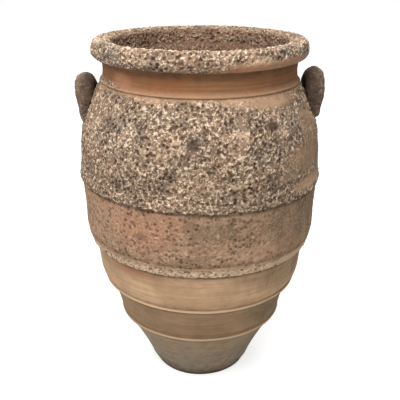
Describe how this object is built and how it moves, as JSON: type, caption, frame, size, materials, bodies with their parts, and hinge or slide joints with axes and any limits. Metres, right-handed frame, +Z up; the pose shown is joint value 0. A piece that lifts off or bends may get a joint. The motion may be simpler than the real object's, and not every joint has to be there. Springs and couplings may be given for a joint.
{
  "type": "storage jar",
  "caption": "Tall Greek clay storage jar (pithos): tapering coil-built body with raised bands, short neck, rolled rim and ear handles.",
  "frame": {"origin": "centre of the flat underside, on the jar's axis", "axes": "+Z up the jar's axis, +X through the right handle, +Y away from the viewer of the front"},
  "size_m": [0.718, 0.7148, 1.05],
  "materials": {
    "bare_clay": "matt fired clay, worn",
    "crusted_clay": "matt fired clay under a rough lime crust",
    "foot_clay": "matt fired clay, greyed near the ground"
  },
  "bodies": {
    "root": {"base_disc": "foot_clay", "foot_course": "foot_clay", "lower_course": "bare_clay", "middle_course": "bare_clay", "upper_course": "bare_clay", "shoulder_course": "crusted_clay", "neck": "bare_clay", "rim": "crusted_clay", "foot_cordon": "bare_clay", "lower_cordon": "bare_clay", "middle_cordon": "bare_clay", "upper_cordon": "crusted_clay", "left_handle": "crusted_clay", "right_handle": "crusted_clay"}
  },
  "joints": []
}
